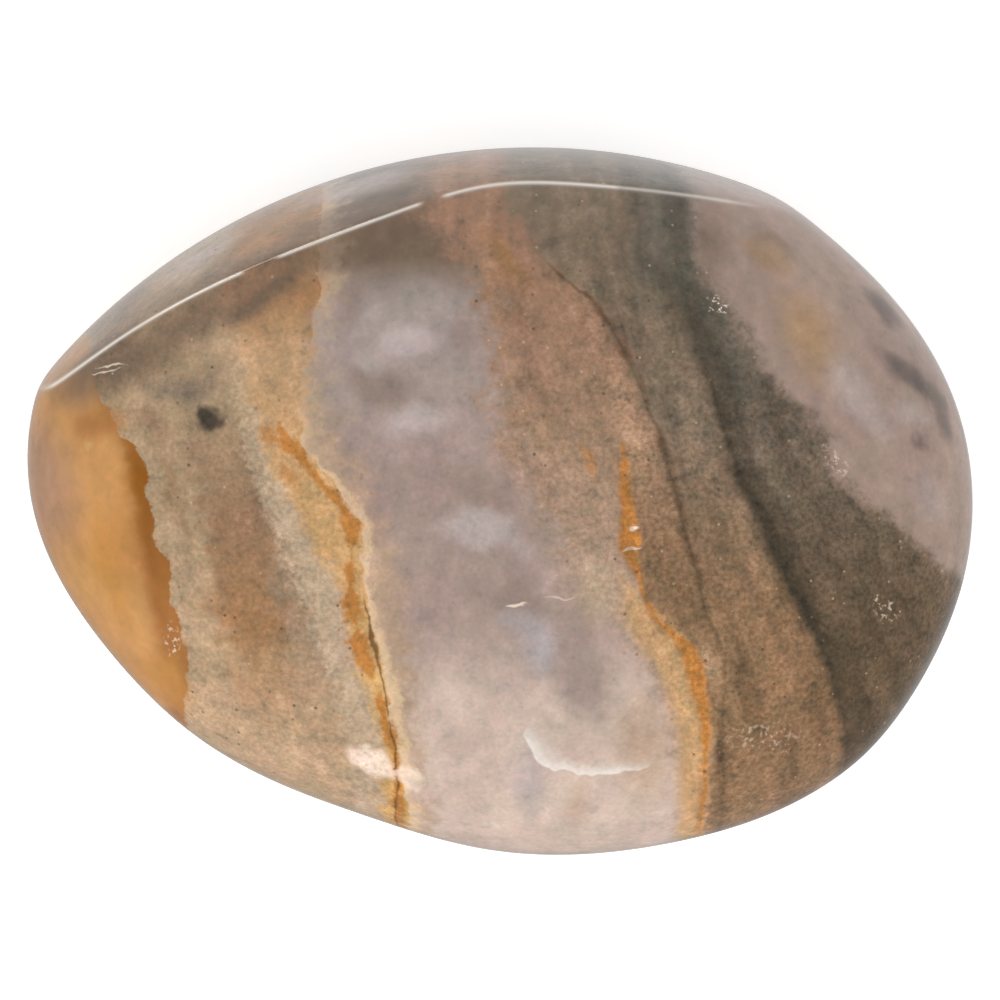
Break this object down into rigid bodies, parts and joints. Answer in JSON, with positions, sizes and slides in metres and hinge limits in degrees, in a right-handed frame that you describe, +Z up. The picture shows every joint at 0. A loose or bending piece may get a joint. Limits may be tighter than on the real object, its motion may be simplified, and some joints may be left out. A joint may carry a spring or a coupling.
{
  "type": "tumbled petrified wood stone",
  "caption": "Polished egg-shaped pebble of petrified wood, banded in grey, pink, tan and gold, that lies on a small flat foot.",
  "frame": {"origin": "on the resting plane, under the centre of the stone's plan", "axes": "+Z up out of the domed face, +X along the stone to its broad end, +Y towards the worn crown wall"},
  "size_m": [0.038, 0.0286, 0.0161],
  "materials": {
    "polished_petrified_wood": "polished"
  },
  "bodies": {
    "root": {"stone": "polished_petrified_wood"}
  },
  "joints": []
}
